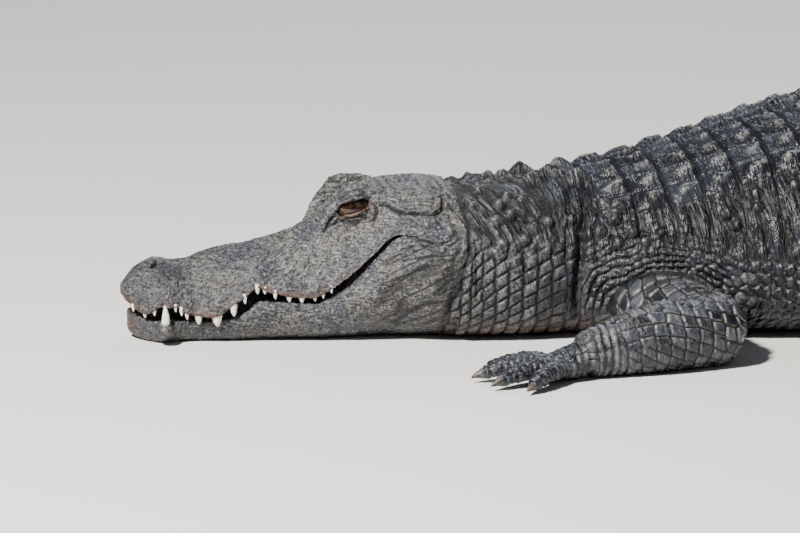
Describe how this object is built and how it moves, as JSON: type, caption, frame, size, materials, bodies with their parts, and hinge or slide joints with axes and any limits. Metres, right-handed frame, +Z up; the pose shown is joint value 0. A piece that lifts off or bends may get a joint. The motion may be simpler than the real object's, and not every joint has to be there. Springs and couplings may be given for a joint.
{
  "type": "american alligator",
  "caption": "Life-size still model of an adult alligator lying flat with its chin, belly, tail and feet on the floor and its mouth slightly open.",
  "frame": {"origin": "on the floor under the middle of the belly, on the spine's plane", "axes": "+X from the belly toward the tail, so the head points along -X; the animal's left side faces -Y; +Z up"},
  "size_m": [3.2323, 1.068, 0.3165],
  "materials": {
    "head_hide": "grey bony skin, finely pitted, matt",
    "back_hide": "dark grey horny plates and scales with black seams, slightly wet",
    "tail_hide": "dark grey ringed scales with raised crests, slightly wet",
    "limb_hide": "dark blue-grey scales edged with pale skin, slightly wet",
    "eye": "wet brown eye"
  },
  "bodies": {
    "root": {"head": "head_hide", "lower_jaw": "head_hide", "neck": "back_hide", "torso_front": "back_hide", "torso_rear": "back_hide", "tail_base": "tail_hide", "tail_front": "tail_hide", "tail_rear": "tail_hide", "tail_tip": "tail_hide", "upper_arm_left": "limb_hide", "upper_arm_right": "limb_hide", "forearm_left": "limb_hide", "forearm_right": "limb_hide", "hand_left": "limb_hide", "hand_right": "limb_hide", "thigh_left": "limb_hide", "thigh_right": "limb_hide", "shank_left": "limb_hide", "shank_right": "limb_hide", "foot_left": "limb_hide", "foot_right": "limb_hide", "eye_left": "eye", "eye_right": "eye"}
  },
  "joints": []
}
